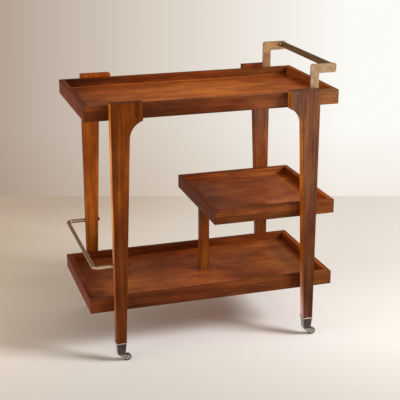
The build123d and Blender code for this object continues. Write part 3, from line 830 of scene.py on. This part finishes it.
@dataclass
class Studio:
    """Pale paper floor that ends at the backdrop, one broad softbox at the right and three dim ones."""

    # Far edge of the floor and its other edges, in metres from the middle of the cart.
    wall_distance: float = 1.333
    reach: float = 8.0
    key: Softbox = Softbox("key_softbox", (3.9, -2.7, 3.1), 1.68, 1.37, 44.5, (0.94, 0.98, 1.0))
    low: Softbox = Softbox("low_softbox", (1.8, -2.9, 0.6), 1.4, 1.1, 1.8, (1.0, 0.97, 0.96))
    front: Softbox = Softbox("front_softbox", (0.0, -3.9, 1.3), 2.4, 1.8, 0.8, (1.0, 0.98, 0.96))
    fill: Softbox = Softbox("left_softbox", (-3.0, -0.9, 1.6), 2.4, 1.8, 2.0, (1.0, 0.95, 0.9))
    # Light of the room, dim and warm at the left and bright at the right. The limits of the room are sines: of a
    # bearing from the middle of the view, or of a height above level.
    ambient_left: tuple[float, float, float] = (0.24, 0.19, 0.135)
    ambient_right: tuple[float, float, float] = (0.88, 0.77, 0.64)
    ambient_limits: tuple[float, float] = (-0.5, 1.0)
    # Paper of the backdrop from left to right, tan to white as painted falloff of light, with a painted shade at its
    # foot.
    paper: tuple[tuple[float, str], ...] = ((0.0, "#b2a092"), (0.4, "#dad0c4"), (0.85, "#fcfaf5"))
    paper_limits: tuple[float, float] = (-0.2, 0.2)
    foot: str = "#dcc9b8"
    foot_share: float = 0.3
    foot_limits: tuple[float, float] = (-0.31, -0.25)
    # Dim ceiling, which shows in reflections alone.
    ceiling: str = "#82776b"
    ceiling_limits: tuple[float, float] = (-0.04, 0.14)
    # Matt backdrop paper, rolled out as a floor: it gives the eye a pale ground with soft shadows and no
    # reflection. Its colour holds painted light: lighter and warmer to the left, a painted shade in its far left
    # corner, and a painted pool of light that makes it palest in the band under the cart. Its limits are in metres.
    leftward: tuple[float, float, float] = (-0.8, 0.6, 0.0)
    leftward_reach: float = 1.1
    sheet: tuple[tuple[float, str], ...] = ((0.0, "#e9e7e5"), (1.0, "#fbeee0"))
    corner: str = "#d0cbc8"
    corner_limits: tuple[float, float] = (0.2, 1.2)
    band: tuple[tuple[float, str], ...] = ((0.0, "#e5e4e2"), (0.35, "#fefefe"), (0.65, "#ffffff"), (1.0, "#f5f4f2"))
    band_limits: tuple[float, float] = (-0.55, 0.55)
    # Tooth of the paper, in millimetres. The real one is finer than 0.3 mm, too fine to show, so it is drawn 1.5 mm.
    tooth: float = 1.5
    tooth_strength: float = 0.1
    tooth_depth: float = 0.1

    def build(self, view: Viewpoint) -> None:
        """Makes the floor, the lamps and the room's light.

        Args:
            view: Camera whose bearing the floor's edge and the backdrop follow.
        """
        self.floor(view)
        for lamp in (self.key, self.low, self.front, self.fill):
            lamp.build()
        self.room(view)
        log.info("studio built")

    def room(self, view: Viewpoint) -> None:
        """Makes the backdrop, painted from tan at the left to white at the right as falloff of light, and the room's
        dim light.

        Args:
            view: Camera whose bearing the backdrop's shading follows.
        """
        world = bpy.data.worlds.new("room")
        world.use_nodes = True
        tree = world.node_tree
        tree.nodes.clear()
        paths = add_node(tree, "ShaderNodeLightPath").outputs
        mirrored = {0: paths["Is Glossy Ray"], 1: paths["Is Transmission Ray"]}
        mirrored = add_node(tree, "ShaderNodeMath", mirrored, operation="MAXIMUM").outputs[0]
        seen = add_node(tree, "ShaderNodeMath", {0: mirrored, 1: paths["Is Camera Ray"]}, operation="MAXIMUM")

        toward = add_node(tree, "ShaderNodeTexCoord").outputs["Generated"]
        sideways = {0: toward, 1: (math.cos(view.turn), math.sin(view.turn), 0.0)}
        sideways = add_node(tree, "ShaderNodeVectorMath", sideways, operation="DOT_PRODUCT").outputs["Value"]
        left, right = self.ambient_limits
        around = add_node(tree, "ShaderNodeMapRange", {"Value": sideways, "From Min": left, "From Max": right})
        around = {0: around.outputs[0], 6: (*self.ambient_left, 1.0), 7: (*self.ambient_right, 1.0)}
        around = add_node(tree, "ShaderNodeMix", around, data_type="RGBA").outputs[2]
        left, right = self.paper_limits
        sideways = add_node(tree, "ShaderNodeMapRange", {"Value": sideways, "From Min": left, "From Max": right})
        paper = add_node(tree, "ShaderNodeValToRGB", {"Fac": sideways.outputs[0]}, stops=self.paper).outputs[0]
        height = add_node(tree, "ShaderNodeSeparateXYZ", {0: toward}).outputs["Z"]
        # Painted shade at the backdrop's foot.
        low, high = self.foot_limits
        foot = {"Value": height, "From Min": low, "From Max": high, "To Min": self.foot_share, "To Max": 0.0}
        foot = add_node(tree, "ShaderNodeMapRange", foot).outputs[0]
        shade = {0: foot, 6: paper, 7: linear(self.foot)}
        paper = add_node(tree, "ShaderNodeMix", shade, data_type="RGBA", blend_type="MULTIPLY").outputs[2]

        low, high = self.ceiling_limits
        above = {"Value": height, "From Min": low, "From Max": high}
        above = add_node(tree, "ShaderNodeMapRange", above, interpolation_type="SMOOTHSTEP").outputs[0]
        above = add_node(tree, "ShaderNodeMath", {0: above, 1: mirrored}, operation="MULTIPLY").outputs[0]
        ceiling = {0: above, 6: paper, 7: linear(self.ceiling)}
        paper = add_node(tree, "ShaderNodeMix", ceiling, data_type="RGBA").outputs[2]
        both = {0: seen.outputs[0], 6: around, 7: paper}
        both = add_node(tree, "ShaderNodeMix", both, data_type="RGBA").outputs[2]
        light = add_node(tree, "ShaderNodeBackground", {"Color": both, "Strength": 1.0})
        add_node(tree, "ShaderNodeOutputWorld", {"Surface": light.outputs[0]})
        bpy.context.scene.world = world

    def floor(self, view: Viewpoint) -> None:
        """Makes the paper floor with painted light: warmer to the left, shaded far left and palest under the cart.

        Args:
            view: Camera whose bearing the floor's edge follows.
        """
        mesh = bpy.data.meshes.new("floor")
        far, near, side = self.wall_distance, -self.reach, self.reach
        turn = Matrix.Rotation(view.turn, 4, "Z")
        corners = ((-side, near, 0), (side, near, 0), (side, far, 0), (-side, far, 0))
        mesh.from_pydata([turn @ Vector(corner) for corner in corners], [], [(0, 1, 2, 3)])
        floor = bpy.data.objects.new("floor", mesh)
        bpy.context.scene.collection.objects.link(floor)

        material, tree, output = new_material("matt_paper_floor")
        place = add_node(tree, "ShaderNodeTexCoord").outputs["Object"]
        leftward = {0: place, 1: self.leftward}
        leftward = add_node(tree, "ShaderNodeVectorMath", leftward, operation="DOT_PRODUCT").outputs["Value"]
        leftward = {"Value": leftward, "From Min": 0.0, "From Max": self.leftward_reach}
        leftward = add_node(tree, "ShaderNodeMapRange", leftward, interpolation_type="SMOOTHSTEP").outputs[0]
        colour = add_node(tree, "ShaderNodeValToRGB", {"Fac": leftward}, stops=self.sheet).outputs[0]
        away = {0: place, 1: (-math.sin(view.turn), math.cos(view.turn), 0.0)}
        away = add_node(tree, "ShaderNodeVectorMath", away, operation="DOT_PRODUCT").outputs["Value"]
        # Painted shade in the far left corner.
        start, end = self.corner_limits
        corner = {"Value": away, "From Min": start, "From Max": end}
        corner = {0: add_node(tree, "ShaderNodeMapRange", corner).outputs[0], 1: leftward}
        corner = add_node(tree, "ShaderNodeMath", corner, operation="MULTIPLY").outputs[0]
        dimmed = {0: corner, 6: colour, 7: linear(self.corner)}
        colour = add_node(tree, "ShaderNodeMix", dimmed, data_type="RGBA", blend_type="MULTIPLY").outputs[2]
        # Painted pool of light: palest in the band under the cart, dimmer towards the near edge.
        start, end = self.band_limits
        away = add_node(tree, "ShaderNodeMapRange", {"Value": away, "From Min": start, "From Max": end}).outputs[0]
        band = add_node(tree, "ShaderNodeValToRGB", {"Fac": away}, stops=self.band).outputs[0]
        banded = {0: 1.0, 6: colour, 7: band}
        colour = add_node(tree, "ShaderNodeMix", banded, data_type="RGBA", blend_type="MULTIPLY").outputs[2]
        tooth = {"Vector": place, "Scale": 1 / (self.tooth * MM), "Detail": 2.0}
        tooth = add_node(tree, "ShaderNodeTexNoise", tooth).outputs["Fac"]
        bump = {"Height": tooth, "Strength": self.tooth_strength, "Distance": self.tooth_depth * MM}
        bump = add_node(tree, "ShaderNodeBump", bump).outputs[0]
        shader = add_node(tree, "ShaderNodeBsdfDiffuse", {"Color": colour, "Normal": bump})
        tree.links.new(shader.outputs[0], output.inputs["Surface"])
        mesh.materials.append(material)


def main() -> None:
    """Dresses the cart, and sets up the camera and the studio."""
    logging.basicConfig(level=logging.INFO, format="%(name)s: %(message)s")
    bpy.context.scene.view_settings.view_transform = "Standard"
    for number, name in enumerate(("top_tray", "middle_shelf", "bottom_tray")):
        Tray(name, number=number).dress()
    Legs().dress()
    Handle().dress()
    BottleRail().dress()
    Casters().dress()
    view = Viewpoint()
    view.build()
    Studio().build(view)


if __name__ == "__main__":
    main()
